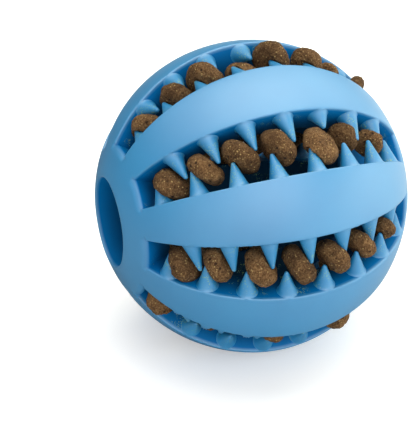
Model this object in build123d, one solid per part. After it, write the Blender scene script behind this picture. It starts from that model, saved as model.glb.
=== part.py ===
from build123d import *

import math
import os

# A hollow rubber ball with a bore through each pole and eight toothed slots that hold dry treats.
# Millimetres and degrees. The origin is the ball's centre, the pole axis is X, and the first slot faces up (+Z).
# A polar angle is measured at the centre from the left pole, which is the one on -X.

# Shell
SHELL_DIAMETER = 70.0
SHELL_WALL = 7.5
POLE_BORE_DIAMETER = 20.0
SLOT_ARC = 22.5
SLOT_END_POLAR = 29.6
SLOT_END_BEVEL = 0.9
LIP_ROUND = 0.35
CUT_OVERRUN = 2.0

# Slots, in order from the top over the front and round the back
SLOT_NAMES = (
    "top",
    "front_upper",
    "front",
    "front_lower",
    "bottom",
    "rear_lower",
    "rear",
    "rear_upper",
)

# Teeth: the row on a slot's first wall and the row on its second wall mesh like a zip
TOOTH_BASE_DIAMETER = 4.3
TOOTH_TIP_RADIUS = 0.5
TOOTH_LENGTH = 5.3
TOOTH_DEPTH = 2.5
FIRST_ROW_PITCH = 15.0
SECOND_ROW_PITCH = 14.6
TOOTH_LEAN = 5.0
FIRST_ROW_TEETH = 8
SECOND_ROW_TEETH = 7

# Treats: round crowned biscuits, wedged on edge between the teeth
TREAT_DIAMETER = 8.6
TREAT_THICKNESS = 4.8
TREAT_PROUD = 0.3
TREAT_CLEARANCE = 0.15
RIM_HEIGHT_SHARE = 0.8
RIM_REACH_SHARE = 0.5
SEAM_TURN = 71.0

# One row for each treat: its place in tooth pitches past the first row's first tooth, its place across the slot
# as a share of the treat's thickness, its lean from square across the slot, its tip towards the outside, its size
# as a share of the full size, and how far it stands proud as a share of its thickness
TREAT_SHARES = {
    "top": (
        (0.24, 0.00, 40, -10, 1.06, 0.02),
        (1.32, 0.05, 36, -8, 1.04, 0.05),
        (2.20, 0.05, 34, -4, 1.14, 0.18),
        (3.24, -0.15, 40, 35, 1.02, -0.26),
        (4.06, 0.05, 30, 6, 1.08, 0.34),
        (5.04, 0.00, 30, 0, 0.95, 0.28),
        (5.76, 0.00, 30, 6, 0.72, -0.08),
        (6.64, 0.00, -30, 0, 0.72, 0.26),
    ),
    "front_upper": (
        (0.26, -0.08, 38, 4, 1.10, 0.06),
        (1.25, 0.00, 38, 0, 1.02, 0.05),
        (2.19, 0.12, 42, -6, 1.06, 0.05),
        (3.20, 0.10, 34, 0, 1.06, 0.06),
        (4.34, -0.14, 30, 58, 1.06, 0.16),
        (5.27, 0.32, 42, -6, 0.88, -0.26),
        (6.17, 0.02, 40, 0, 0.80, -0.05),
    ),
    "front": (
        (0.33, -0.20, 26, 6, 1.02, 0.04),
        (1.23, 0.02, 28, 0, 0.98, 0.00),
        (2.31, -0.10, 30, 4, 1.10, 0.08),
        (3.33, -0.16, 33, 0, 1.10, 0.08),
        (4.30, -0.14, 28, -5, 1.00, 0.05),
        (5.24, -0.05, 30, 4, 0.90, 0.05),
        (6.20, 0.06, 30, 0, 0.74, 0.00),
    ),
    "front_lower": (
        (-0.10, 0.18, 34, 6, 1.04, 0.20),
        (1.26, 0.00, 36, -6, 0.92, -0.44),
        (3.12, -0.05, 40, 10, 1.06, -0.27),
        (4.88, 0.00, -30, 0, 0.90, 0.13),
        (5.78, 0.00, -30, 0, 0.80, -0.35),
    ),
    "bottom": (
        (0.26, 0.00, 32, 0, 0.88, -0.30),
        (1.75, 0.00, -32, 4, 0.82, -0.30),
        (3.25, 0.00, 30, 0, 0.95, -0.35),
        (4.26, 0.05, 34, 6, 1.00, -0.35),
        (6.25, 0.00, 30, 0, 0.84, -0.30),
    ),
    "rear_lower": (
        (0.30, 0.00, 34, -4, 1.00, 0.00),
        (1.80, -0.20, -34, 0, 1.06, 0.05),
        (3.30, 0.20, 30, 0, 1.06, 0.05),
        (4.20, 0.35, 30, 0, 1.16, 0.05),
        (5.24, 0.00, 36, 0, 1.04, 0.02),
        (6.24, 0.00, 32, 4, 0.90, 0.00),
    ),
    "rear": (
        (0.25, 0.00, 34, 0, 0.98, 0.02),
        (1.26, 0.00, 34, 6, 1.06, 0.06),
        (2.24, 0.05, 32, 0, 1.04, 0.02),
        (3.30, 0.35, 30, 0, 1.16, 0.05),
        (4.20, 0.35, 40, 0, 1.16, 0.05),
        (5.20, 0.00, 40, 0, 1.16, 0.05),
        (6.30, 0.20, 30, 0, 1.06, 0.05),
    ),
    "rear_upper": (
        (0.26, 0.00, 34, 0, 0.94, -0.32),
        (1.25, 0.00, 32, 0, 0.96, 0.00),
        (2.74, 0.00, -30, 0, 0.80, -0.10),
        (4.24, 0.05, 30, 8, 1.04, 0.08),
        (5.26, 0.00, 34, 0, 0.96, 0.05),
        (6.25, 0.00, 30, -5, 0.84, 0.00),
    ),
}

# Worked out from the sizes above
SHELL_RADIUS = SHELL_DIAMETER / 2
CAVITY_RADIUS = SHELL_RADIUS - SHELL_WALL
SLOT_PITCH = 360 / len(SLOT_NAMES)
HALF_ARC = SLOT_ARC / 2
TOOTH_RADIUS = TOOTH_BASE_DIAMETER / 2
TOOTH_SEAT_RADIUS = SHELL_RADIUS - TOOTH_DEPTH
FIRST_ROW_START = 90 - FIRST_ROW_PITCH * (FIRST_ROW_TEETH - 1) / 2
SECOND_ROW_START = 90 - SECOND_ROW_PITCH * (SECOND_ROW_TEETH - 1) / 2


def cosine(angle):
    return math.cos(math.radians(angle))


def sine(angle):
    return math.sin(math.radians(angle))


def outward(polar, tilt=0.0):
    """Unit vector from the centre at a polar angle, in the plane turned by tilt from the upper slot's mid-plane."""
    return Vector(-cosine(polar), sine(polar) * sine(tilt), sine(polar) * cosine(tilt))


def along(polar, tilt=0.0):
    """Unit vector of growing polar angle, square to outward in the same plane."""
    return Vector(sine(polar), cosine(polar) * sine(tilt), cosine(polar) * cosine(tilt))


def profile_point(radius, polar):
    """Point of the slot's profile in the XZ plane."""
    return (-radius * cosine(polar), radius * sine(polar))


def slot_cutter():
    """The slot that faces up: a sector of a disc, with bevelled end lips, turned about the pole axis."""
    bevel_angle = math.degrees(SLOT_END_BEVEL / SHELL_RADIUS)
    bevel_foot = SHELL_RADIUS - SLOT_END_BEVEL
    mouth = SHELL_RADIUS + CUT_OVERRUN
    mouth_polar = SLOT_END_POLAR - bevel_angle * (mouth - bevel_foot) / SLOT_END_BEVEL
    floor = CAVITY_RADIUS - CUT_OVERRUN
    side = [
        profile_point(floor, SLOT_END_POLAR),
        profile_point(bevel_foot, SLOT_END_POLAR),
        profile_point(mouth, mouth_polar),
    ]
    far_side = [(-x, z) for x, z in reversed(side)]
    with BuildPart() as cutter:
        with BuildSketch(Plane.XZ):
            with BuildLine():
                Polyline(*side)
                ThreePointArc(side[-1], (0, mouth), far_side[0])
                Polyline(*far_side)
                ThreePointArc(far_side[-1], (0, floor), side[0])
            make_face()
        revolve(axis=Axis.X, revolution_arc=SLOT_ARC)
    return Rot(X=-HALF_ARC) * cutter.part


def make_shell():
    """One moulding: a hollow sphere, bored through both poles and slotted, with its slot lips rounded."""
    shell = Sphere(SHELL_RADIUS) - Sphere(CAVITY_RADIUS)
    bore_length = SHELL_DIAMETER + CUT_OVERRUN
    shell -= Rot(Y=90) * Cylinder(POLE_BORE_DIAMETER / 2, bore_length)
    cutter = slot_cutter()
    for number in range(len(SLOT_NAMES)):
        shell -= Rot(X=number * SLOT_PITCH) * cutter
    equator = SHELL_RADIUS * sine(SLOT_END_POLAR)
    lips = [
        edge
        for edge in shell.edges()
        if abs((edge @ 0.5).length - SHELL_RADIUS) < LIP_ROUND
        and math.hypot((edge @ 0.5).Y, (edge @ 0.5).Z) > equator
    ]
    return fillet(lips, LIP_ROUND)


def make_tooth():
    """A rounded cone on the XY plane that leans towards +X, cut flat where it stands on its wall."""
    root_run = TOOTH_RADIUS * sine(TOOTH_LEAN)
    tip_height = TOOTH_LENGTH - TOOTH_TIP_RADIUS
    slant = math.hypot(TOOTH_RADIUS, tip_height)
    taper = math.degrees(math.acos(TOOTH_TIP_RADIUS / slant) - math.atan2(tip_height, TOOTH_RADIUS))
    root_radius = TOOTH_RADIUS + root_run * math.tan(math.radians(taper))
    shoulder = (TOOTH_TIP_RADIUS * cosine(taper), tip_height + TOOTH_TIP_RADIUS * sine(taper))
    half_turn = (90 + taper) / 2
    crown = (TOOTH_TIP_RADIUS * cosine(half_turn), tip_height + TOOTH_TIP_RADIUS * sine(half_turn))
    with BuildPart() as tooth:
        with BuildSketch(Plane.XZ):
            with BuildLine():
                Polyline((0, TOOTH_LENGTH), (0, -root_run), (root_radius, -root_run), shoulder)
                ThreePointArc(shoulder, crown, (0, TOOTH_LENGTH))
            make_face()
        revolve(axis=Axis.Z)
    leaning = Rot(Y=TOOTH_LEAN) * tooth.part
    return split(leaning, bisect_by=Plane.XY, keep=Keep.TOP)


def tooth_seats():
    """Where each tooth of the upper slot stands: a plane on its wall, with X the way that it leans."""
    rows = (
        (FIRST_ROW_START, FIRST_ROW_PITCH, FIRST_ROW_TEETH, -HALF_ARC),
        (SECOND_ROW_START, SECOND_ROW_PITCH, SECOND_ROW_TEETH, HALF_ARC),
    )
    seats = []
    for start, pitch, count, tilt in rows:
        side = math.copysign(1, tilt)
        inward = Vector(0, -side * cosine(tilt), side * sine(tilt))
        for number in range(count):
            polar = start + number * pitch
            foot = outward(polar, tilt) * TOOTH_SEAT_RADIUS
            seats.append(Plane(foot, x_dir=along(polar, tilt) * side, z_dir=inward))
    return seats


def make_biscuit(diameter, thickness):
    """A whole treat, flat on the XY plane: a crowned disc with a round rim."""
    radius = diameter / 2
    half = thickness / 2
    rim_x = radius - RIM_REACH_SHARE * half
    rim_z = RIM_HEIGHT_SHARE * half
    crown_rise = half - rim_z
    crown_radius = (rim_x**2 + crown_rise**2) / (2 * crown_rise)
    mid_x = rim_x / 2
    mid_z = half - crown_radius + math.sqrt(crown_radius**2 - mid_x**2)
    with BuildPart() as biscuit:
        with BuildSketch(Plane.XZ):
            with BuildLine():
                ThreePointArc((0, half), (mid_x, mid_z), (rim_x, rim_z))
                ThreePointArc((rim_x, rim_z), (radius, 0), (rim_x, -rim_z))
                ThreePointArc((rim_x, -rim_z), (mid_x, -mid_z), (0, -half))
                Line((0, -half), (0, half))
            make_face()
        revolve(axis=Axis.Z)
    return biscuit.part


def tooth_passage(seat, frame):
    """The room that a tooth takes up beside a treat that slides along the frame's Z axis, with clearance."""
    tip = seat.from_local_coords(Vector(TOOTH_LENGTH * sine(TOOTH_LEAN), 0, TOOTH_LENGTH * cosine(TOOTH_LEAN)))
    root_at = frame.to_local_coords(seat.origin)
    tip_at = frame.to_local_coords(tip)
    axis = Vector(tip_at.X - root_at.X, tip_at.Y - root_at.Y).normalized()
    square = Vector(-axis.Y, axis.X)
    root = Vector(root_at.X, root_at.Y)
    end = Vector(tip_at.X, tip_at.Y) + axis * TREAT_CLEARANCE
    wide = square * (TOOTH_RADIUS + TREAT_CLEARANCE)
    narrow = square * (TOOTH_TIP_RADIUS + TREAT_CLEARANCE)
    behind = root - axis * CUT_OVERRUN
    corners = [behind - wide, root - wide, end - narrow, end + narrow, root + wide, behind + wide]
    outline = make_face(Polyline(*[(corner.X, corner.Y) for corner in corners], close=True))
    return extrude(frame * outline, amount=SHELL_RADIUS, dir=frame.z_dir, both=True)


def make_treat(row, seats):
    """A treat of the upper slot, trimmed to slide straight out between its teeth and its walls."""
    place, across_share, lean, tip, size_share, proud_share = row
    diameter = TREAT_DIAMETER * size_share
    thickness = TREAT_THICKNESS * size_share
    polar = FIRST_ROW_START + place * FIRST_ROW_PITCH
    out = outward(polar)
    centre_radius = SHELL_RADIUS + TREAT_PROUD + proud_share * thickness - diameter / 2
    centre = out * centre_radius + Vector(0, across_share * thickness, 0)
    frame = Plane(centre, x_dir=along(polar), z_dir=out)
    turned = frame.location * Rot(Z=lean) * Rot(Y=90 - tip) * Rot(Z=SEAM_TURN)
    treat = turned * make_biscuit(diameter, thickness)
    reach = diameter + TOOTH_BASE_DIAMETER
    for seat in seats:
        if (seat.origin - centre).length < reach:
            treat -= tooth_passage(seat, frame)
    for tilt in (-HALF_ARC, HALF_ARC):
        side = math.copysign(1, tilt)
        inward = Vector(0, -side * cosine(tilt), side * sine(tilt))
        treat = split(treat, bisect_by=Plane(inward * TREAT_CLEARANCE, z_dir=inward), keep=Keep.TOP)
    return treat


def write(name, shape):
    shape.label = name
    export_step(shape, os.path.join("parts", name + ".step"))


def main():
    os.makedirs("parts", exist_ok=True)
    write("ball_shell", make_shell())
    tooth = make_tooth()
    seats = tooth_seats()
    for number, slot in enumerate(SLOT_NAMES):
        turn = Rot(X=number * SLOT_PITCH)
        write("teeth_" + slot, Compound([turn * seat.location * tooth for seat in seats]))
        for place, row in enumerate(TREAT_SHARES[slot], start=1):
            write(f"treat_{slot}_{place}", turn * make_treat(row, seats))


main()
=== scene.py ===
import math

import bpy
import numpy as np
from mathutils import Matrix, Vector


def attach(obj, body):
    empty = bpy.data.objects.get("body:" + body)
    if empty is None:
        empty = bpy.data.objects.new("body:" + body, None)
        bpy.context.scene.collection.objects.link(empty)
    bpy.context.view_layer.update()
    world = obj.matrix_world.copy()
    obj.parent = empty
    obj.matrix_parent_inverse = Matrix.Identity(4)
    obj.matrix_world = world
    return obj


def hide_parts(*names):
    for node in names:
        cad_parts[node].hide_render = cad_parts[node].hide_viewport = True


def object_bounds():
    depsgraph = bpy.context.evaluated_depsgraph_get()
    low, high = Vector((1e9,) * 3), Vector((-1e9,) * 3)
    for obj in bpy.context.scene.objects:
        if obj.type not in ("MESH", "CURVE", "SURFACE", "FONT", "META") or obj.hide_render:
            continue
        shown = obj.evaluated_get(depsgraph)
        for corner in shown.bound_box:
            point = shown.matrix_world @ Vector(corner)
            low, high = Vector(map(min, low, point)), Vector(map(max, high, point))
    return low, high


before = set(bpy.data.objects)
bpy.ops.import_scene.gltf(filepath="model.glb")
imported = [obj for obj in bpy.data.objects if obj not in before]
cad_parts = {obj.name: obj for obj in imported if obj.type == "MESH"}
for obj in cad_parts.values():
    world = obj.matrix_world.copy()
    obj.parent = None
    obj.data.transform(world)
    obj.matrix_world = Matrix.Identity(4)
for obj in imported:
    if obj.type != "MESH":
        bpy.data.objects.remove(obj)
cad_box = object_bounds()

MM = 0.001

# The shell, in millimetres and degrees
BALL_R = 35.0
CAVITY_R = 27.5
BORE_R = 10.0
HALF_SLOT = 11.25
SLOT_END = 29.6
LIP = 0.38
RIM_LIP = 0.5
END_BEVEL = 0.62
END_BEVEL_REACH = 1.35
END_BEVEL_CURVE = 1.4
END_BEVEL_NARROW = 1.6
SKIN_RIPPLE = 0.018
RIPPLE_SEED = 3
SLOTS = ("top", "front_upper", "front", "front_lower", "bottom", "rear_lower", "rear", "rear_upper")
PITCH = math.tau / len(SLOTS)

# Steps of the shell's grid: rows from pole to pole, columns round the pole axis, layers through the wall
LIP_STEPS = 6
CAP_STEPS = 12
ROWS_BY_END = (0.12, 0.3, 0.55, 0.9)
MIDDLE_START = 1.5
MIDDLE_ROWS = 84
LIP_COLUMNS = 7
RIB_COLUMNS = 14
SLOT_COLUMNS = 14
LAYERS = (0.0, 0.04, 0.1, 0.2, 0.35, 0.5, 0.65, 0.8, 0.92, 1.0)

# The teeth: each row's first place and pitch in degrees and its count, then one tooth in millimetres
FIRST_ROW = (37.5, 15.0, 8)
SECOND_ROW = (46.2, 14.6, 7)
TEETH = FIRST_ROW[2] + SECOND_ROW[2]
TOOTH_ROOT = 2.15
TOOTH_TIP = 0.5
TOOTH_LONG = 5.3
TOOTH_SEAT = 32.5
TOOTH_LEAN = 5.0
TOOTH_SUNK = 0.25
ROOT_FLARE = 0.24
FLARE_FADE = 0.16
TOOTH_HEIGHTS = (-TOOTH_SUNK, -0.05, 0.05, 0.15, 0.3, 0.55, 0.9, 1.5, 2.2, 3.0, 3.8, 4.4)
TIP_RINGS = 7
TOOTH_SIDES = 32
TOOTH_WAVE = 0.012
LENGTH_CHANGE = (-0.12, 0.10)
LEAN_SHARE = (0.6, 1.4)
TOOTH_SEED = 40

# Habits: second rows that are longer, one tooth that is short, and the splay of each second row's first tooth
STRETCHED = {"front_upper": 0.55, "front": 0.95}
SQUASHED = {"front_upper": (12, -2.0)}
FIRST_SPLAY = 0.16

# The treats: a disc in millimetres, its rim as shares of half the thickness, and the steps of its grid
TREAT_WIDE = 8.6
TREAT_THICK = 4.8
TREAT_PROUD = 0.3
TOOTH_GAP = 0.12
TIP_MARGIN = 1.1
RIM_WIDE = 0.5
RIM_TALL = 0.8
CROWN_RINGS = 19
RIM_RINGS = 27
TREAT_SIDES = 112
TREAT_SEED = 7000
SLOT_SEED_STEP = 20

# Lumps in the crust: step of the seed, number of waves, lowest and highest rate, height in millimetres
CRUST_LUMPS = ((0, 7, 0.5, 1.1, 0.14), (500, 14, 1.4, 2.8, 0.11), (900, 24, 4.0, 7.5, 0.045))
CRUST_CRUMBS = (950, 30, 9.0, 14.0, 0.05)
CRUST_SINK = 0.10
CRUST_ROUND = 1.15
LEAST_WIDTH = 0.96

# Each treat: place in tooth pitches, shift across, lean, tip, size share, share that it stands proud
TREATS = {
    "top": (
        (0.24, 0.00, 40, -10, 1.06, 0.02), (1.32, 0.05, 36, -8, 1.04, 0.05), (2.20, 0.05, 34, -4, 1.14, 0.18),
        (3.24, -0.15, 40, 35, 1.02, -0.26), (4.06, 0.05, 30, 6, 1.08, 0.34), (5.04, 0.00, 30, 0, 0.95, 0.28),
        (5.76, 0.00, 30, 6, 0.72, -0.08), (6.64, 0.00, -30, 0, 0.72, 0.26)),
    "front_upper": (
        (0.26, -0.08, 38, 4, 1.10, 0.06), (1.25, 0.00, 38, 0, 1.02, 0.05), (2.19, 0.12, 42, -6, 1.06, 0.05),
        (3.20, 0.10, 34, 0, 1.06, 0.06), (4.34, -0.14, 30, 58, 1.06, 0.16), (5.27, 0.32, 42, -6, 0.88, -0.26),
        (6.17, 0.02, 40, 0, 0.80, -0.05)),
    "front": (
        (0.33, -0.20, 26, 6, 1.02, 0.04), (1.23, 0.02, 28, 0, 0.98, 0.00), (2.31, -0.10, 30, 4, 1.10, 0.08),
        (3.33, -0.16, 33, 0, 1.10, 0.08), (4.30, -0.14, 28, -5, 1.00, 0.05), (5.24, -0.05, 30, 4, 0.90, 0.05),
        (6.20, 0.06, 30, 0, 0.74, 0.00)),
    "front_lower": (
        (-0.10, 0.18, 34, 6, 1.04, 0.20), (1.26, 0.00, 36, -6, 0.92, -0.44),
        (3.12, -0.05, 40, 10, 1.06, -0.27), (4.88, 0.00, -30, 0, 0.90, 0.13),
        (5.78, 0.00, -30, 0, 0.80, -0.35)),
    "bottom": (
        (0.26, 0.00, 32, 0, 0.88, -0.30), (1.75, 0.00, -32, 4, 0.82, -0.30), (3.25, 0.00, 30, 0, 0.95, -0.35),
        (4.26, 0.05, 34, 6, 1.00, -0.35), (6.25, 0.00, 30, 0, 0.84, -0.30)),
    "rear_lower": (
        (0.30, 0.00, 34, -4, 1.00, 0.00), (1.80, -0.20, -34, 0, 1.06, 0.05), (3.30, 0.20, 30, 0, 1.06, 0.05),
        (4.20, 0.35, 30, 0, 1.16, 0.05), (5.24, 0.00, 36, 0, 1.04, 0.02), (6.24, 0.00, 32, 4, 0.90, 0.00)),
    "rear": (
        (0.25, 0.00, 34, 0, 0.98, 0.02), (1.26, 0.00, 34, 6, 1.06, 0.06), (2.24, 0.05, 32, 0, 1.04, 0.02),
        (3.30, 0.35, 30, 0, 1.16, 0.05), (4.20, 0.35, 40, 0, 1.16, 0.05), (5.20, 0.00, 40, 0, 1.16, 0.05),
        (6.30, 0.20, 30, 0, 1.06, 0.05)),
    "rear_upper": (
        (0.26, 0.00, 34, 0, 0.94, -0.32), (1.25, 0.00, 32, 0, 0.96, 0.00), (2.74, 0.00, -30, 0, 0.80, -0.10),
        (4.24, 0.05, 30, 8, 1.04, 0.08), (5.26, 0.00, 34, 0, 0.96, 0.05), (6.25, 0.00, 30, -5, 0.84, 0.00)),
}

# Mould flash: slot, first and last degree along the lip, least and ragged reach, tags (place, reach, width)
FLASH = (
    ("front_lower", 40, 118, 0.05, 0.16, ((44, 0.6, 1.3), (55.5, 1.4, 1.6), (70.5, 0.9, 1.6))),
    ("front", 42, 110, 0.02, 0.07, ()),
    ("rear", 80, 124, 0.5, 0.1, ()),
)
FLASH_STEPS = 260
FLASH_FADE = 3.0
FLASH_SEED = 70
FLASH_LEAST = 0.002
FLASH_SEAT = 0.45
TAG_FRAY = 0.25
BLADE_FOOT = -0.25
BLADE_REACH = (-1.0, 0.0, 0.6, 1.0, 0.6, 0.0, -1.0)
BLADE_THICK = (0.081, 0.072, 0.0405, 0.0, -0.0405, -0.072, -0.081)

# Colours, as ramp stops or plain, and the strength of the floor's glow and of the sky
SKIN_BLUE = ((0.30, (0.001, 0.220, 0.490)), (0.70, (0.003, 0.248, 0.530)))
# Painted shade: the blue of the slot walls darkens from near the lips down to the cavity
SLOT_SHADE_BLUE = ((0.0, (0.0, 0.016, 0.045)), (0.5, (0.0, 0.060, 0.190)), (1.0, (0.0, 0.125, 0.370)))
DUST_GREEN = (0.26, 0.46, 0.19)
MEAL_BROWN = ((0.36, (0.044, 0.021, 0.008)), (0.49, (0.116, 0.059, 0.023)), (0.62, (0.235, 0.132, 0.054)))
# Painted shade in the kibble's pits
PIT_SHADE_BROWN = (0.034, 0.017, 0.008)
GRAIN_GOLD = (0.42, 0.28, 0.11)
FLOOR_SEEN = (0.86, 0.86, 0.86)
FLOOR_GLOW = (0.35, 1.0)
FLOOR_UNSEEN = (0.88, 0.88, 0.88)
FLOOR_GLEAM = ((0.0, (0.12, 0.12, 0.12)), (1.0, (0.95, 0.95, 0.95)))
SKY = (0.95, 0.975, 1.0)
SKY_STRENGTH = (0.10, 1.05)

# Where one finish or the painted slot shade gives way to another, in metres from the ball's centre. The bores'
# is from the pole axis, and the floor's gleam runs along it
SLOT_DEPTH = (0.0275, 0.0338)
SLOT_SHADE_GROWS = (0.0349, 0.0340)
SHINE_RISES = (0.0340, 0.0347)
DUST_SETTLES = (0.03455, 0.0338)
BORES_STAY_CLEAN = (0.0115, 0.0135)
GLOW_GROWS = (0.2, 1.2)
GLEAM_GROWS = (-0.03, 0.14)

# Lamps: name, direction from the ball's centre, power in watts, tint
WARM, SOFT_WARM, WHITE = (1.0, 0.98, 0.84), (1.0, 0.98, 0.86), (1.0, 1.0, 1.0)
LAMP_DISTANCE = 1.0
LAMP_SIZE = 0.9
LAMPS = (
    ("right_box", (0.9, -0.42, -0.01), 6.4, WARM),
    ("right_back_box", (0.95, 0.3, 0.15), 3.0, SOFT_WARM),
    ("top_right_box", (0.572, 0.272, 0.773), 5.4, WARM),
    ("top_box", (0.05, 0.05, 1.0), 5.6, SOFT_WARM),
    ("back_box", (-0.396, 0.386, 0.833), 3.0, WHITE),
    ("front_high_box", (0.0, -0.78, 0.62), 4.8, WHITE),
    ("front_box", (0.1, -0.97, 0.25), 2.0, WHITE),
    ("left_box", (-0.7, -0.66, 0.3), 2.5, WHITE),
)

# Camera: direction and distance from the ball's centre, then frame, focal length and ball's place in pixels
AZIMUTH, ELEVATION, DISTANCE = math.radians(-21.4), math.radians(27.6), 0.3843
FRAME_WIDE, FRAME_TALL = 420.0, 423.0
FOCAL = 1711.0
BALL_X, BALL_Y = 251.2, 196.0
SENSOR = 36.0


def mesh_piece(name, points, faces, material, body, nodes, slot):
    """A piece from points in millimetres and a list of face arrays, shaded smooth. All faces in one array have
    the same number of corners."""
    mesh = bpy.data.meshes.new(name)
    mesh.vertices.add(len(points))
    mesh.vertices.foreach_set("co", (np.asarray(points) * MM).astype(np.float32).ravel())
    corners = np.concatenate([f.ravel() for f in faces]).astype(np.int32)
    totals = np.concatenate([np.full(len(f), f.shape[1]) for f in faces]).astype(np.int32)
    mesh.loops.add(len(corners))
    mesh.loops.foreach_set("vertex_index", corners)
    mesh.polygons.add(len(totals))
    mesh.polygons.foreach_set("loop_start", (np.cumsum(totals) - totals).astype(np.int32))
    mesh.polygons.foreach_set("loop_total", totals)
    mesh.polygons.foreach_set("use_smooth", np.ones(len(totals), dtype=bool))
    mesh.update(calc_edges=True)
    mesh.validate()
    mesh.materials.append(material)
    piece = bpy.data.objects.new(name, mesh)
    bpy.context.scene.collection.objects.link(piece)
    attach(piece, body)
    if nodes:
        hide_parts(*nodes)
    return piece


def joined(*corners):
    """Faces from arrays of point numbers, one array for each corner."""
    return np.stack(corners, -1).reshape(-1, len(corners))


def ripple(a, b, seed, waves, low, high):
    """Smooth noise over two parameters: a sum of sine waves with seeded directions, lengths and phases."""
    rng = np.random.default_rng(seed)
    total = np.zeros(np.broadcast(a, b).shape)
    for _ in range(waves):
        turn = rng.uniform(0, math.tau)
        rate = rng.uniform(low, high)
        phase = rng.uniform(0, math.tau)
        total = total + np.sin(rate * (a * math.cos(turn) + b * math.sin(turn)) + phase)
    return total / math.sqrt(waves)


def lumps(points, seed, waves, low, high):
    """Smooth noise in space: a sum of sine waves with seeded directions, lengths and phases."""
    rng = np.random.default_rng(seed)
    way = rng.normal(size=(3, waves))
    way *= rng.uniform(low, high, waves) / np.linalg.norm(way, axis=0)
    return np.sin(points @ way + rng.uniform(0, math.tau, waves)).sum(axis=-1) / math.sqrt(waves)


def on_sphere(radius, polar, turn):
    """Point at a radius, a polar angle from the left pole and a turn from the top towards the front."""
    girth = radius * np.sin(polar)
    return np.stack(np.broadcast_arrays(
        -radius * np.cos(polar), -girth * np.sin(turn), girth * np.cos(turn)), -1)


def turned(points, number):
    """Points of the top slot carried round the pole axis to another slot."""
    a = PITCH * number
    x, y, z = points[..., 0], points[..., 1], points[..., 2]
    return np.stack([x, y * math.cos(a) - z * math.sin(a), y * math.sin(a) + z * math.cos(a)], -1)


def round_over(away, radius):
    """Depth of a rounded lip at a distance from its edge: radius less the height of a quarter circle."""
    s = np.clip(away / radius, 0.0, 1.0)
    return radius * (1.0 - np.sqrt(np.clip(1.0 - (1.0 - s) ** 2, 0.0, 1.0)))


def graded(length, lip, middle):
    """Steps along a length, from 0 to length, close together in the lips at both ends and even between."""
    edge = lip * (1.0 - np.cos(np.linspace(0.0, math.pi / 2, LIP_STEPS)))
    even = np.linspace(lip, length - lip, middle)[1:-1]
    return np.concatenate([edge, even, length - edge[::-1]])


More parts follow.
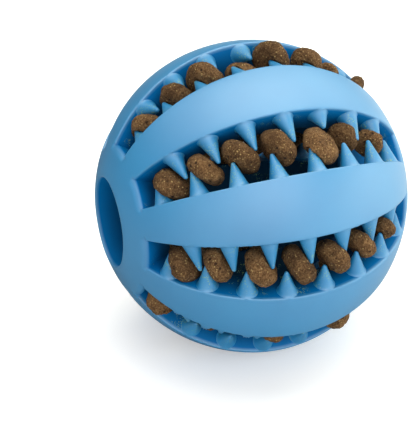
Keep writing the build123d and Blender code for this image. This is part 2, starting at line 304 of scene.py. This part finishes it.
def shell_surface():
    """The shell as the skin of a three-way grid: polar rows, columns round the pole axis and layers from the
    outer sphere to the cavity. Slot cells are empty. The outer radius falls away in a quarter circle at every
    lip, and a little more at the slots' ends."""
    bore_out = math.asin(BORE_R / BALL_R)
    bore_in = math.asin(BORE_R / CAVITY_R)
    end = math.radians(SLOT_END)
    half = math.radians(HALF_SLOT)

    # Rows: cap, close rows by the slots' end, even rows, and the same back to the other pole
    cap = bore_out + graded((end - bore_out) * BALL_R, RIM_LIP, CAP_STEPS) / BALL_R
    near = np.array(ROWS_BY_END) / BALL_R
    start = end + MIDDLE_START / BALL_R
    middle = np.linspace(start, math.pi - start, MIDDLE_ROWS)
    rows = np.concatenate([cap, end + near, middle, math.pi - end - near[::-1], math.pi - cap[::-1]])
    first, last = len(cap) - 1, len(rows) - len(cap)

    # Columns: one rib with its two lips, then one slot, eight times round
    wide = PITCH - 2 * half
    sine = np.sin(np.clip(rows, end, math.pi - end))[:, None]
    lip_turn = LIP * (1 - np.cos(np.linspace(0, math.pi / 2, LIP_COLUMNS))) / (BALL_R * sine)
    lip_end = lip_turn[:, -1:]
    even = np.linspace(0, 1, RIB_COLUMNS + 2)[1:-1]
    ribs = np.concatenate([lip_turn, lip_end + (wide - 2 * lip_end) * even, wide - lip_turn[:, ::-1]], axis=1)
    slots = np.repeat(np.linspace(0, 2 * half, SLOT_COLUMNS + 2)[None, 1:-1], len(rows), axis=0)
    once = np.concatenate([half + ribs, half + wide + slots], axis=1)
    turn = (once[:, None, :] + (np.arange(len(SLOTS)) * PITCH)[None, :, None]).reshape(len(rows), -1)
    polar = np.repeat(rows[:, None], turn.shape[1], axis=1)
    rib_cell = np.tile(np.arange(once.shape[1]) < ribs.shape[1] - 1, len(SLOTS))
    row_cell = np.arange(len(rows) - 1)
    solid = rib_cell[None, :] | ~((row_cell >= first) & (row_cell < last))[:, None]

    # Distance to the nearest slot's rectangle and to the pole bore, for the lips
    local = np.abs((turn + PITCH / 2) % PITCH - PITCH / 2)
    side = np.clip(local - half, 0, None) * BALL_R * np.sin(polar)
    ends = np.clip(np.maximum(end - polar, polar - (math.pi - end)), 0, None) * BALL_R
    away = np.hypot(side, ends)
    rim = np.minimum(polar - bore_out, math.pi - bore_out - polar) * BALL_R
    share = np.clip(1 - np.hypot(ends, END_BEVEL_NARROW * side) / END_BEVEL_REACH, 0, 1)
    bevel = END_BEVEL * share ** END_BEVEL_CURVE
    bevel *= ((polar <= end + 1e-6) | (polar >= math.pi - end - 1e-6))
    outer = BALL_R - round_over(away, LIP) - round_over(rim, RIM_LIP) - bevel
    waves = ripple(polar * 9, turn * 5, RIPPLE_SEED, 9, 0.6, 2.2)
    outer = outer + SKIN_RIPPLE * waves * np.clip(away, 0, 1)
    inner_polar = np.interp(rows, [bore_out, end, math.pi - end, math.pi - bore_out],
                            [bore_in, end, math.pi - end, math.pi - bore_in])[:, None]
    skin = on_sphere(outer, polar, turn)
    cavity = on_sphere(CAVITY_R + round_over(away, LIP), inner_polar, turn)
    points = skin[None] + (cavity - skin)[None] * np.array(LAYERS)[:, None, None, None]

    # Faces: outer skin, cavity skin, then a wall wherever a solid cell meets an empty one
    index = np.arange(points[..., 0].size).reshape(points.shape[:3])
    right = np.roll(index, -1, axis=2)
    i, j = np.nonzero(solid)
    faces = [joined(index[0, i, j], right[0, i, j], right[0, i + 1, j], index[0, i + 1, j]),
             joined(index[-1, i, j], index[-1, i + 1, j], right[-1, i + 1, j], right[-1, i, j])]
    edge = np.zeros((1, solid.shape[1]), bool)
    before, after = np.vstack([edge, solid]), np.vstack([solid, edge])
    k = np.arange(len(LAYERS) - 1)[:, None]
    for i, j, flip in ((*np.nonzero(before & ~after), False), (*np.nonzero(after & ~before), True)):
        wall = joined(index[k, i, j], right[k, i, j], right[k + 1, i, j], index[k + 1, i, j])
        faces.append(wall[:, ::-1] if flip else wall)
    left = np.roll(solid, 1, axis=1)
    for i, j, flip in ((*np.nonzero(left & ~solid), False), (*np.nonzero(solid & ~left), True)):
        wall = joined(index[k, i, j], index[k + 1, i, j], index[k + 1, i + 1, j], index[k, i + 1, j])
        faces.append(wall[:, ::-1] if flip else wall)
    used, faces = np.unique(np.concatenate(faces), return_inverse=True)
    return points.reshape(-1, 3)[used], [faces.reshape(-1, 4)]


def tooth_seats():
    """Feet, lean directions, inward axes and cross directions of the top slot's teeth, as four arrays."""
    polar = np.radians(np.concatenate([first + pitch * np.arange(count) for first, pitch, count in
                                       (FIRST_ROW, SECOND_ROW)]))
    side = np.concatenate([-np.ones(FIRST_ROW[2]), np.ones(SECOND_ROW[2])])
    h = math.radians(HALF_SLOT)
    out = np.stack([-np.cos(polar), np.sin(polar) * side * math.sin(h), np.sin(polar) * math.cos(h)], -1)
    along = np.stack([np.sin(polar), np.cos(polar) * side * math.sin(h), np.cos(polar) * math.cos(h)], -1)
    inward = np.stack([0 * side, -side * math.cos(h), 0 * side + math.sin(h)], -1)
    lean = along * side[:, None]
    return out * TOOTH_SEAT, lean, inward, np.cross(inward, lean)


def tooth_habits(number):
    """How much longer than the nominal length each tooth of a slot is, and the slope of its lean."""
    rng = np.random.default_rng(TOOTH_SEED + number)
    grow = rng.uniform(*LENGTH_CHANGE, TEETH)
    slope = math.tan(math.radians(TOOTH_LEAN)) * rng.uniform(*LEAN_SHARE, TEETH)
    grow[FIRST_ROW[2]:] += STRETCHED.get(SLOTS[number], 0.0)
    slope[FIRST_ROW[2]] += FIRST_SPLAY
    if SLOTS[number] in SQUASHED:
        tooth, change = SQUASHED[SLOTS[number]]
        grow[tooth] = change
    return grow, slope


def teeth_surface(number):
    """Fifteen cones with a small flare at the root and a round tip: a profile of radius against height,
    carried round an axis that leans, with a slight wave in its radius and seeded differences in its length."""
    foot, lean, inward, cross = tooth_seats()
    grow, tilt = tooth_habits(number)
    tip_z = TOOTH_LONG - TOOTH_TIP
    taper = math.acos(TOOTH_TIP / math.hypot(TOOTH_ROOT, tip_z)) - math.atan2(tip_z, TOOTH_ROOT)
    z = np.array(TOOTH_HEIGHTS)
    r = TOOTH_ROOT - z * math.tan(taper) + ROOT_FLARE * np.exp(-np.clip(z, 0, None) / FLARE_FADE)
    arc = np.linspace(taper, math.pi / 2, TIP_RINGS + 1)[:-1]
    z = np.concatenate([z, tip_z + TOOTH_TIP * np.sin(arc)])
    r = np.concatenate([r, TOOTH_TIP * np.cos(arc)])
    around = np.linspace(0, math.tau, TOOTH_SIDES + 1)[:-1]
    tall = z[None, :] + grow[:, None] * np.clip(z / TOOTH_LONG, 0, 1)[None, :]
    wave = 1 + TOOTH_WAVE * np.sin(2 * around[None, None, :] + 6.0 * np.arange(TEETH)[:, None, None])
    wide = r[None, :, None] * wave
    x = wide * np.cos(around) + (np.clip(tall, 0, None) * tilt[:, None])[:, :, None]
    y = wide * np.sin(around)
    h = np.repeat(tall[:, :, None], TOOTH_SIDES, axis=2)
    points = (foot[:, None, None] + x[..., None] * lean[:, None, None] + y[..., None] * cross[:, None, None]
              + h[..., None] * inward[:, None, None])
    crest = TOOTH_LONG + grow
    tips = foot + crest[:, None] * inward + (crest * tilt)[:, None] * lean
    roots = foot - TOOTH_SUNK * inward
    index = np.arange(h.size).reshape(h.shape)
    right = np.roll(index, -1, axis=2)
    tip = (h.size + np.arange(TEETH))[:, None] + 0 * index[:, -1]
    sides = joined(index[:, :-1], right[:, :-1], right[:, 1:], index[:, 1:])
    caps = np.concatenate([joined(index[:, -1], right[:, -1], tip),
                           joined(right[:, 0], index[:, 0], tip + TEETH)])
    return turned(np.concatenate([points.reshape(-1, 3), tips, roots]), number), [sides, caps]


def treat_disc(wide, thick):
    """A disc lying flat: a shallow crown runs into a rounder rim, and this profile is turned round the disc's
    axis. The middle points of its two faces come last."""
    a, half = wide / 2, thick / 2
    rim_x, rim_z = a - RIM_WIDE * half, RIM_TALL * half
    crown = (rim_x ** 2 + (half - rim_z) ** 2) / (2 * (half - rim_z))
    flat = np.linspace(0, 1, CROWN_RINGS + 2)[1:-1] * rim_x
    crown_z = half - crown + np.sqrt(crown ** 2 - flat ** 2)
    rim_r = ((a - rim_x) ** 2 + rim_z ** 2) / (2 * (a - rim_x))
    rim_a = math.asin(rim_z / rim_r)
    bend = np.linspace(rim_a, -rim_a, RIM_RINGS)
    rho = np.concatenate([flat, a - rim_r + rim_r * np.cos(bend), flat[::-1]])[:, None]
    z = np.concatenate([crown_z, rim_r * np.sin(bend), -crown_z[::-1]])[:, None]
    around = np.linspace(0, math.tau, TREAT_SIDES + 1)[:-1]
    disc = np.stack(np.broadcast_arrays(rho * np.cos(around), rho * np.sin(around), z), -1).reshape(-1, 3)
    return np.concatenate([disc, [[0, 0, half], [0, 0, -half]]])


def crusted(disc, wide, thick, seed):
    """The disc with a lumpy crust: seeded noise of four sizes moves each point along its direction from the
    middle of a rounded body, and both widths shrink by a small seeded share."""
    rng = np.random.default_rng(seed)
    swell = 0.0
    for step, waves, low, high, height in CRUST_LUMPS:
        swell = swell + lumps(disc, seed + step, waves, low, high) * height
    step, waves, low, high, height = CRUST_CRUMBS
    swell = swell + np.abs(lumps(disc, seed + step, waves, low, high)) * height
    skin = disc / np.array([wide / 2, wide / 2, thick / 2 * CRUST_ROUND])
    skin = skin / np.linalg.norm(skin, axis=1, keepdims=True)
    shrink = np.array([rng.uniform(LEAST_WIDTH, 1.0), rng.uniform(LEAST_WIDTH, 1.0), 1.0])
    return disc * shrink + skin * (swell - CRUST_SINK)[:, None]


def clear_of_teeth(offset, centre, ways, wide, number):
    """A treat's points as steps along, across and out of the slot, moved clear of every tooth near it: square
    to the tooth, or past its tip where that is nearer, so that the treat can slide straight out."""
    along, up, out = ways
    x, y, h = offset @ along, offset @ up, offset @ out
    foot, slope, inward, _ = tooth_seats()
    grow, tilt = tooth_habits(number)
    tips = foot + (TOOTH_LONG + grow)[:, None] * (tilt[:, None] * slope + inward)
    for base, point in zip(foot - centre, tips - centre):
        if np.linalg.norm(base) > wide + 2 * TOOTH_ROOT:
            continue
        root = np.array([base @ along, base @ up])
        way = np.array([point @ along, point @ up]) - root
        reach = np.linalg.norm(way)
        way = way / reach
        square = np.array([-way[1], way[0]])
        sign = 1.0 if -(root @ square) > 0 else -1.0
        # Distances along the tooth, and square to it on the treat's side
        t = (x - root[0]) * way[0] + (y - root[1]) * way[1]
        w = ((x - root[0]) * square[0] + (y - root[1]) * square[1]) * sign
        thick_here = np.interp(t, [0, reach], [TOOTH_ROOT, TOOTH_TIP * TIP_MARGIN]) + TOOTH_GAP
        above = np.clip(h - np.interp(t, [0, reach], [base @ out, point @ out]), 0, None)
        room = np.sqrt(np.clip(thick_here ** 2 - above ** 2, 0, None))
        beside = (t < reach + TOOTH_GAP) & (above < thick_here)
        push = np.where(beside, np.clip(room - w, 0, None), 0.0)
        over = np.clip(reach + TOOTH_GAP - t, 0, None)
        by_tip = (over < push) & (push > 0)
        x = x + np.where(by_tip, over * way[0], push * sign * square[0])
        y = y + np.where(by_tip, over * way[1], push * sign * square[1])
    return x[:, None] * along, y[:, None] * up, h[:, None] * out


def treat_surface(row, number, seed):
    """A baked treat in its slot: a crusted disc, leaned and tipped, set at its place along the slot, moved
    clear of the teeth and then kept off the slot's two walls."""
    place, across, lean, tip, size, proud = row
    wide, thick = TREAT_WIDE * size, TREAT_THICK * size
    polar = math.radians(FIRST_ROW[0] + FIRST_ROW[1] * place)
    out = np.array([-math.cos(polar), 0.0, math.sin(polar)])
    along = np.array([math.sin(polar), 0.0, math.cos(polar)])
    up = np.array([0.0, 1.0, 0.0])
    centre = out * (BALL_R + TREAT_PROUD + proud * thick - wide / 2) + up * across * thick
    lean, tip = math.radians(lean), math.radians(tip)
    flat_way = math.cos(lean) * along + math.sin(lean) * up
    axis = math.cos(tip) * flat_way + math.sin(tip) * out
    first = math.sin(tip) * flat_way - math.cos(tip) * out
    disc = crusted(treat_disc(wide, thick), wide, thick, seed)
    offset = disc @ np.stack([first, np.cross(axis, first), axis])
    x, y, h = clear_of_teeth(offset, centre, (along, up, out), wide, number)
    points = centre + x + y + h
    wall = math.radians(HALF_SLOT)
    for side in (-1.0, 1.0):
        inside = np.array([0.0, -side * math.cos(wall), math.sin(wall)])
        short = np.clip(TOOTH_GAP - points @ inside, 0, None)
        points = points + short[:, None] * inside
    index = np.arange(len(disc) - 2).reshape(-1, TREAT_SIDES)
    right = np.roll(index, -1, axis=1)
    sides = joined(index[:-1], index[1:], right[1:], right[:-1])
    middle = 0 * index[0] + index.size
    caps = np.concatenate([joined(index[0], right[0], middle), joined(right[-1], index[-1], middle + 1)])
    return turned(points, number), [sides, caps]


def flash_surface(number, start, stop, least, ragged, tags):
    """Thin mould flash along a slot's lip: a flat blade profile carried along the lip. Its reach is a small
    base plus seeded ripples plus torn tags, each a bell of a given place, reach and width. It fades at both
    ends."""
    polar = np.radians(np.linspace(start, stop, FLASH_STEPS))
    reach = least + ragged * np.clip(ripple(polar * 60, 0 * polar, FLASH_SEED + number, 9, 1.0, 4.0), 0, None)
    for place, tall, wide in tags:
        bell = np.exp(-((np.degrees(polar) - place) / wide) ** 4)
        reach = reach + tall * bell * (1 + TAG_FRAY * np.sin(polar * 400))
    fade = np.clip(np.minimum(polar - polar[0], polar[-1] - polar) / math.radians(FLASH_FADE), 0, 1)
    reach = np.clip(reach * fade, FLASH_LEAST, None)
    lip = math.radians(HALF_SLOT)
    foot = on_sphere(BALL_R - LIP * FLASH_SEAT, polar, -lip)
    hang = np.array([0.0, -math.cos(lip), math.sin(lip)])
    out = foot / np.linalg.norm(foot, axis=1, keepdims=True)
    share = np.array(BLADE_REACH)
    blade = np.where(share < 0, BLADE_FOOT, share[None, :] * reach[:, None])
    thick = np.array(BLADE_THICK) * fade[:, None]
    points = foot[:, None] + blade[..., None] * hang + thick[..., None] * out[:, None]
    index = np.arange(blade.size).reshape(blade.shape)
    right = np.roll(index, -1, axis=1)
    sides = joined(index[:-1], right[:-1], right[1:], index[1:])
    return turned(points.reshape(-1, 3), number), [sides, index[0][None, ::-1], index[-1][None]]


def node(tree, kind, **values):
    """A shader node with its properties and unlinked inputs set."""
    made = tree.nodes.new(kind)
    for key, value in values.items():
        if hasattr(made, key):
            setattr(made, key, value)
        else:
            made.inputs[key.replace("_", " ")].default_value = value
    return made


def link(tree, source, target):
    """Join an output to an input."""
    tree.links.new(source, target)


def ramp(tree, source, stops):
    """A colour ramp on a value, with (place, colour) stops."""
    made = tree.nodes.new("ShaderNodeValToRGB")
    band = made.color_ramp
    while len(band.elements) < len(stops):
        band.elements.new(0.5)
    for element, (place, colour) in zip(band.elements, stops):
        element.position = place
        element.color = (*colour, 1.0)
    link(tree, source, made.inputs["Fac"])
    return made.outputs["Color"]


def spread(tree, source, low, high, to_low=0.0, to_high=1.0):
    """A value carried from one range to another and held inside it."""
    made = node(tree, "ShaderNodeMapRange")
    for key, value in (("From Min", low), ("From Max", high), ("To Min", to_low), ("To Max", to_high)):
        made.inputs[key].default_value = value
    link(tree, source, made.inputs["Value"])
    return made.outputs["Result"]


def reckon(tree, operation, first, second):
    """One arithmetic step on two values, each an output or a number."""
    made = node(tree, "ShaderNodeMath", operation=operation)
    for socket, value in zip(made.inputs, (first, second)):
        if isinstance(value, (int, float)):
            socket.default_value = value
        else:
            link(tree, value, socket)
    return made.outputs[0]


def length_of(tree, place):
    """Distance of a place from the ball's centre."""
    made = node(tree, "ShaderNodeVectorMath", operation="LENGTH")
    link(tree, place, made.inputs[0])
    return made.outputs["Value"]


def noise(tree, place, scale, detail, rough):
    """Cloud noise at a place."""
    made = node(tree, "ShaderNodeTexNoise", Scale=scale, Detail=detail, Roughness=rough)
    link(tree, place, made.inputs["Vector"])
    return made.outputs["Fac"]


def blend(tree, mask, first, second):
    """Two colours mixed by a mask, each an output or a plain colour."""
    made = node(tree, "ShaderNodeMix", data_type="RGBA")
    link(tree, mask, made.inputs["Factor"])
    for key, value in (("A", first), ("B", second)):
        if isinstance(value, tuple):
            made.inputs[key].default_value = (*value, 1.0)
        else:
            link(tree, value, made.inputs[key])
    return made.outputs["Result"]


def grains(tree, place, scale, share, size):
    """Spots in a share of the cells of a cell pattern, soft at the edge."""
    cells = node(tree, "ShaderNodeTexVoronoi", Scale=scale, Randomness=1.0)
    link(tree, place, cells.inputs["Vector"])
    pick = node(tree, "ShaderNodeSeparateColor")
    link(tree, cells.outputs["Color"], pick.inputs["Color"])
    chosen = reckon(tree, "LESS_THAN", pick.outputs["Red"], share)
    return reckon(tree, "MULTIPLY", chosen, spread(tree, cells.outputs["Distance"], size, 0.5 * size))


def bare_finish(name):
    """A new material with an empty tree: the material, its tree and its output node."""
    made = bpy.data.materials.new(name)
    made.use_nodes = True
    made.node_tree.nodes.clear()
    return made, made.node_tree, made.node_tree.nodes.new("ShaderNodeOutputMaterial")


def dust_group():
    """Shared effect: a mask of kibble dust inside the slots, from noise and spots on Object coordinates. It
    fades out towards the ball's outer skin by the distance from the ball's centre, and towards the pole bores
    by the distance from the pole axis."""
    group = bpy.data.node_groups.new("kibble_dust", "ShaderNodeTree")
    group.interface.new_socket("Vector", in_out="INPUT", socket_type="NodeSocketVector")
    group.interface.new_socket("Amount", in_out="INPUT", socket_type="NodeSocketFloat")
    group.interface.new_socket("Dust", in_out="OUTPUT", socket_type="NodeSocketFloat")
    enter = group.nodes.new("NodeGroupInput")
    leave = group.nodes.new("NodeGroupOutput")
    place = enter.outputs["Vector"]
    patches = reckon(group, "ADD", noise(group, place, 240.0, 3.0, 0.6), enter.outputs["Amount"])
    patches = spread(group, patches, 0.52, 0.66)
    fine = grains(group, place, 4200.0, 0.34, 0.55)
    coarse = grains(group, place, 2300.0, 0.10, 0.40)
    spots = reckon(group, "MAXIMUM", fine, coarse)
    flat = node(group, "ShaderNodeVectorMath", operation="MULTIPLY")
    flat.inputs[1].default_value = (0.0, 1.0, 1.0)
    link(group, place, flat.inputs[0])
    girth = length_of(group, flat.outputs["Vector"])
    inside = reckon(group, "MULTIPLY", spread(group, length_of(group, place), *DUST_SETTLES),
                    spread(group, girth, *BORES_STAY_CLEAN))
    dusty = reckon(group, "MULTIPLY", reckon(group, "MULTIPLY", patches, spots), inside)
    link(group, dusty, leave.inputs["Dust"])
    return group


def rubber(name, dust, amount, shine, slot_shade):
    """Satin blue rubber: a slow colour drift, a fine moulded grain in bump and roughness, kibble dust, and a
    shine that is full on the ball's outer skin. Inside the slots the shine falls to a share of that, and the
    blue is darkened with depth towards the cavity as painted shade."""
    made, tree, leave = bare_finish(name)
    skin = node(tree, "ShaderNodeBsdfPrincipled", Specular_IOR_Level=0.08, Coat_IOR=2.2, Coat_Roughness=0.5)
    link(tree, skin.outputs["BSDF"], leave.inputs["Surface"])
    place = tree.nodes.new("ShaderNodeTexCoord").outputs["Object"]
    radius = length_of(tree, place)
    drift = ramp(tree, noise(tree, place, 55.0, 3.0, 0.55), SKIN_BLUE)
    # Painted shade: the blue darkens with depth into the slots, most at the cavity
    shade_by_depth = ramp(tree, spread(tree, radius, *SLOT_DEPTH), SLOT_SHADE_BLUE)
    colour = blend(tree, spread(tree, radius, *SLOT_SHADE_GROWS, 0.0, slot_shade), drift, shade_by_depth)
    dusty = tree.nodes.new("ShaderNodeGroup")
    dusty.node_tree = dust
    dusty.inputs["Amount"].default_value = amount
    link(tree, place, dusty.inputs["Vector"])
    colour = blend(tree, dusty.outputs["Dust"], colour, DUST_GREEN)
    link(tree, colour, skin.inputs["Base Color"])
    grain = noise(tree, place, 1700.0, 4.0, 0.6)
    link(tree, spread(tree, radius, *SHINE_RISES, shine, 1.0), skin.inputs["Coat Weight"])
    link(tree, spread(tree, grain, 0.0, 1.0, 0.38, 0.54), skin.inputs["Roughness"])
    bump = node(tree, "ShaderNodeBump", Strength=0.22, Distance=0.00006)
    height = reckon(tree, "ADD", reckon(tree, "MULTIPLY", dusty.outputs["Dust"], 1.5), grain)
    link(tree, height, bump.inputs["Height"])
    link(tree, bump.outputs["Normal"], skin.inputs["Normal"])
    return made


def kibble(name, shade):
    """Baked kibble: brown meal in blotches, pale and golden grains, pits darkened as painted shade, and a
    rough crust.
    """
    made, tree, leave = bare_finish(name)
    crust = node(tree, "ShaderNodeBsdfPrincipled", Specular_IOR_Level=0.2)
    link(tree, crust.outputs["BSDF"], leave.inputs["Surface"])
    place = tree.nodes.new("ShaderNodeTexCoord").outputs["Object"]
    meal = noise(tree, place, 2700.0, 4.0, 0.68)
    blotch = noise(tree, place, 420.0, 3.0, 0.55)
    tone = reckon(tree, "ADD", reckon(tree, "MULTIPLY", meal, 0.7), reckon(tree, "MULTIPLY", blotch, 0.3))
    brown = ramp(tree, tone, [(stop, tuple(shade * c for c in colour)) for stop, colour in MEAL_BROWN])
    small = grains(tree, place, 2300.0, 0.13, 0.46)
    large = grains(tree, place, 1300.0, 0.035, 0.36)
    pale = reckon(tree, "MAXIMUM", small, large)
    # Pits: sunk in bump, and darkened in colour as painted shade
    pits = grains(tree, place, 1250.0, 0.06, 0.50)
    colour = blend(tree, pale, blend(tree, pits, brown, PIT_SHADE_BROWN), GRAIN_GOLD)
    link(tree, colour, crust.inputs["Base Color"])
    link(tree, spread(tree, meal, 0.2, 0.8, 0.95, 0.65), crust.inputs["Roughness"])
    rise = reckon(tree, "SUBTRACT", reckon(tree, "ADD", meal, blotch), reckon(tree, "MULTIPLY", pits, 0.8))
    rise = reckon(tree, "ADD", rise, reckon(tree, "MULTIPLY", pale, 0.35))
    bump = node(tree, "ShaderNodeBump", Strength=1.0, Distance=0.00038)
    link(tree, rise, bump.inputs["Height"])
    link(tree, bump.outputs["Normal"], crust.inputs["Normal"])
    return made


def floor_finish():
    """Pale floor. The camera sees white that glows more with distance, glossy rays see a gleam that grows to
    the right, and other rays see plain white."""
    made, tree, leave = bare_finish("pale_floor")
    place = tree.nodes.new("ShaderNodeTexCoord").outputs["Object"]
    path = tree.nodes.new("ShaderNodeLightPath")
    seen = node(tree, "ShaderNodeBsdfDiffuse", Color=(*FLOOR_SEEN, 1.0))
    glow = node(tree, "ShaderNodeEmission")
    link(tree, spread(tree, length_of(tree, place), *GLOW_GROWS, *FLOOR_GLOW), glow.inputs["Strength"])
    bright = tree.nodes.new("ShaderNodeAddShader")
    link(tree, seen.outputs[0], bright.inputs[0])
    link(tree, glow.outputs[0], bright.inputs[1])
    across = tree.nodes.new("ShaderNodeSeparateXYZ")
    link(tree, place, across.inputs["Vector"])
    gleam = ramp(tree, spread(tree, across.outputs["X"], *GLEAM_GROWS), FLOOR_GLEAM)
    unseen = node(tree, "ShaderNodeBsdfDiffuse")
    link(tree, blend(tree, path.outputs["Is Glossy Ray"], FLOOR_UNSEEN, gleam), unseen.inputs["Color"])
    choice = tree.nodes.new("ShaderNodeMixShader")
    link(tree, path.outputs["Is Camera Ray"], choice.inputs["Fac"])
    link(tree, unseen.outputs[0], choice.inputs[1])
    link(tree, bright.outputs[0], choice.inputs[2])
    link(tree, choice.outputs[0], leave.inputs["Surface"])
    return made


def standing(right, back, place):
    """A matrix that stands at a place, with its right-hand and backward directions given."""
    turn = np.eye(4)
    turn[:3, 0], turn[:3, 1], turn[:3, 2], turn[:3, 3] = right, np.cross(back, right), back, place
    return Matrix(turn.tolist())


def soft_box(name, way, power, tint):
    """A square lamp in a direction from the ball's centre, turned towards it."""
    lamp = bpy.data.lights.new(name, "AREA")
    lamp.shape = "SQUARE"
    lamp.size = LAMP_SIZE
    lamp.energy = power
    lamp.color = tint
    held = bpy.data.objects.new(name, lamp)
    back = np.asarray(way) / np.linalg.norm(way)
    right = np.cross([0.0, 0.0, 1.0], back)
    held.matrix_world = standing(right / np.linalg.norm(right), back, back * LAMP_DISTANCE)
    bpy.context.scene.collection.objects.link(held)


# The ball
dust = dust_group()
# The shell's slot walls get strong painted shade, the teeth only a little
shell_rubber = rubber("blue_rubber_shell", dust, amount=-0.04, shine=0.0, slot_shade=0.9)
tooth_rubber = rubber("blue_rubber_teeth", dust, amount=0.06, shine=0.65, slot_shade=0.10)
mesh_piece("shell_moulding", *shell_surface(), shell_rubber, "ball", ["ball_shell"], "blue_rubber")
for number, slot_name in enumerate(SLOTS):
    mesh_piece("tooth_rows_" + slot_name, *teeth_surface(number), tooth_rubber,
               "ball", ["teeth_" + slot_name], "blue_rubber")
for slot_name, *habit in FLASH:
    mesh_piece("mould_flash_" + slot_name, *flash_surface(SLOTS.index(slot_name), *habit), shell_rubber,
               "ball", [], "blue_rubber")

# The treats
crusts = [kibble("kibble_dark", 0.82), kibble("kibble_brown", 1.0), kibble("kibble_pale", 1.18)]
for number, slot_name in enumerate(SLOTS):
    for place, row in enumerate(TREATS[slot_name], start=1):
        seed = TREAT_SEED + SLOT_SEED_STEP * number + place
        label = f"{slot_name}_{place}"
        mesh_piece("kibble_" + label, *treat_surface(row, number, seed), crusts[seed % len(crusts)],
                   "treat_" + label, ["treat_" + label], "kibble")

# The floor
low = cad_box[0][2]
floor_mesh = bpy.data.meshes.new("floor")
floor_mesh.from_pydata([(-4, -4, low), (4, -4, low), (4, 4, low), (-4, 4, low)], [], [(0, 1, 2, 3)])
floor_mesh.materials.append(floor_finish())
floor = bpy.data.objects.new("floor", floor_mesh)
bpy.context.scene.collection.objects.link(floor)

# Light: a dim sky that the camera sees as white, and the lamps
world = bpy.data.worlds.new("studio")
bpy.context.scene.world = world
world.use_nodes = True
tree = world.node_tree
sky = tree.nodes["Background"]
sky.inputs["Color"].default_value = (*SKY, 1.0)
camera_ray = tree.nodes.new("ShaderNodeLightPath").outputs["Is Camera Ray"]
link(tree, spread(tree, camera_ray, 0.0, 1.0, *SKY_STRENGTH), sky.inputs["Strength"])
for lamp_row in LAMPS:
    soft_box(*lamp_row)

# Camera
lens = bpy.data.cameras.new("camera")
lens.sensor_fit = "HORIZONTAL"
lens.sensor_width = SENSOR
lens.lens = SENSOR * FOCAL / FRAME_WIDE
lens.shift_x = (FRAME_WIDE / 2 - BALL_X) / FRAME_WIDE
lens.shift_y = (BALL_Y - FRAME_TALL / 2) / FRAME_WIDE
lens.clip_start = 0.01
lens.clip_end = 20.0
camera = bpy.data.objects.new("camera", lens)
level = math.cos(ELEVATION)
back = np.array([math.sin(AZIMUTH) * level, -math.cos(AZIMUTH) * level, math.sin(ELEVATION)])
right = np.array([math.cos(AZIMUTH), math.sin(AZIMUTH), 0.0])
camera.matrix_world = standing(right, back, back * DISTANCE)
bpy.context.scene.collection.objects.link(camera)
bpy.context.scene.camera = camera
bpy.context.scene.view_settings.view_transform = "Standard"
